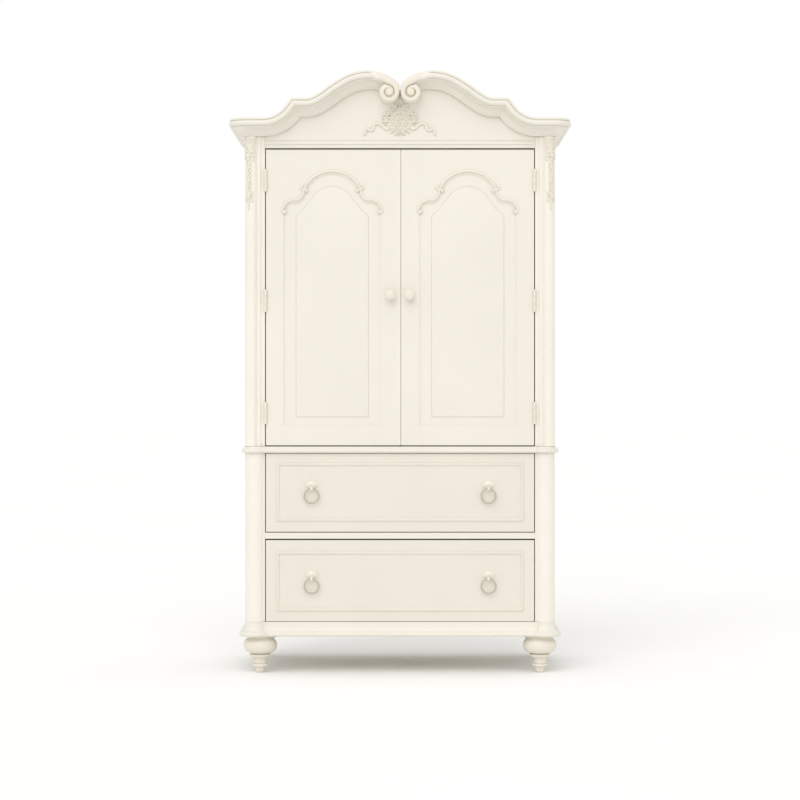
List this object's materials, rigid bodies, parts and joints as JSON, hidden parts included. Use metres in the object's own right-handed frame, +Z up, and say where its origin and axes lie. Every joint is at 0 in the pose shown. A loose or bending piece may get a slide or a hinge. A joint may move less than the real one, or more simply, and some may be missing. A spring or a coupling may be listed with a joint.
{
  "type": "armoire",
  "caption": "Painted armoire with arched panel doors over drawers, round corner posts, turned bun feet, ring pulls and a swan-neck cornice with scrolls.",
  "frame": {"origin": "on the floor, under the centre of the bounding box", "axes": "+Z up, front faces -Y, +X to the right of someone facing the front"},
  "size_m": [1.101, 0.58, 1.9325],
  "materials": {
    "ivory_paint": "satin antique-white paint over wood",
    "inside_paint": "matt antique-white paint over plywood",
    "natural_wood": "clear-coated pale hardwood",
    "hardware_paint": "antique-white enamel on cast metal"
  },
  "bodies": {
    "carcass": {"side_panel_left": "ivory_paint", "side_panel_right": "ivory_paint", "back_panel": "inside_paint", "bottom_panel": "inside_paint", "top_panel": "inside_paint", "cupboard_shelf": "inside_paint", "cupboard_floor": "inside_paint", "drawer_rail": "ivory_paint", "clothes_rod": "natural_wood", "top_drawer_guide": "natural_wood", "bottom_drawer_guide": "natural_wood", "lower_post_left": "ivory_paint", "upper_post_left": "ivory_paint", "lower_post_right": "ivory_paint", "upper_post_right": "ivory_paint", "waist_moulding": "ivory_paint", "base_moulding": "ivory_paint", "foot_front_left": "ivory_paint", "foot_front_right": "ivory_paint", "foot_back_left": "ivory_paint", "foot_back_right": "ivory_paint", "cornice_left": "ivory_paint", "cornice_right": "ivory_paint", "pediment_board": "ivory_paint", "head_moulding": "ivory_paint", "bouquet_applique": "ivory_paint", "post_applique_left": "ivory_paint", "post_applique_right": "ivory_paint", "left_door_lower_hinge_frame_leaf": "hardware_paint", "left_door_middle_hinge_frame_leaf": "hardware_paint", "left_door_upper_hinge_frame_leaf": "hardware_paint", "right_door_lower_hinge_frame_leaf": "hardware_paint", "right_door_middle_hinge_frame_leaf": "hardware_paint", "right_door_upper_hinge_frame_leaf": "hardware_paint"},
    "left_door": {"left_door_frame": "ivory_paint", "left_door_panel": "ivory_paint", "left_door_arch_moulding": "ivory_paint", "left_door_knob": "hardware_paint", "left_door_lower_hinge_door_leaf": "hardware_paint", "left_door_middle_hinge_door_leaf": "hardware_paint", "left_door_upper_hinge_door_leaf": "hardware_paint"},
    "right_door": {"right_door_frame": "ivory_paint", "right_door_panel": "ivory_paint", "right_door_arch_moulding": "ivory_paint", "right_door_knob": "hardware_paint", "right_door_lower_hinge_door_leaf": "hardware_paint", "right_door_middle_hinge_door_leaf": "hardware_paint", "right_door_upper_hinge_door_leaf": "hardware_paint"},
    "top_drawer": {"top_drawer_front": "ivory_paint", "top_drawer_box": "natural_wood", "top_left_pull_plate": "hardware_paint", "top_right_pull_plate": "hardware_paint"},
    "top_left_ring": {"top_left_pull_ring": "hardware_paint"},
    "top_right_ring": {"top_right_pull_ring": "hardware_paint"},
    "bottom_drawer": {"bottom_drawer_front": "ivory_paint", "bottom_drawer_box": "natural_wood", "bottom_left_pull_plate": "hardware_paint", "bottom_right_pull_plate": "hardware_paint"},
    "bottom_left_ring": {"bottom_left_pull_ring": "hardware_paint"},
    "bottom_right_ring": {"bottom_right_pull_ring": "hardware_paint"}
  },
  "joints": [
    {"name": "left_door_hinge", "type": "hinge", "parent": "carcass", "child": "left_door", "pos_m": [-0.432, -0.237, 1.198], "axis": [0, 0, -1], "range_deg": [0, 110]},
    {"name": "right_door_hinge", "type": "hinge", "parent": "carcass", "child": "right_door", "pos_m": [0.432, -0.237, 1.198], "axis": [0, 0, 1], "range_deg": [0, 110]},
    {"name": "top_drawer_slide", "type": "slide", "parent": "carcass", "child": "top_drawer", "axis": [0, -1, 0], "range_m": [0, 0.35]},
    {"name": "top_left_ring_hinge", "type": "hinge", "parent": "top_drawer", "child": "top_left_ring", "pos_m": [-0.284, -0.244, 0.5942], "axis": [-1, 0, 0], "range_deg": [-8, 85]},
    {"name": "top_right_ring_hinge", "type": "hinge", "parent": "top_drawer", "child": "top_right_ring", "pos_m": [0.284, -0.244, 0.5942], "axis": [-1, 0, 0], "range_deg": [-8, 85]},
    {"name": "bottom_drawer_slide", "type": "slide", "parent": "carcass", "child": "bottom_drawer", "axis": [0, -1, 0], "range_m": [0, 0.35]},
    {"name": "bottom_left_ring_hinge", "type": "hinge", "parent": "bottom_drawer", "child": "bottom_left_ring", "pos_m": [-0.284, -0.244, 0.3047], "axis": [-1, 0, 0], "range_deg": [-8, 85]},
    {"name": "bottom_right_ring_hinge", "type": "hinge", "parent": "bottom_drawer", "child": "bottom_right_ring", "pos_m": [0.284, -0.244, 0.3047], "axis": [-1, 0, 0], "range_deg": [-8, 85]}
  ]
}
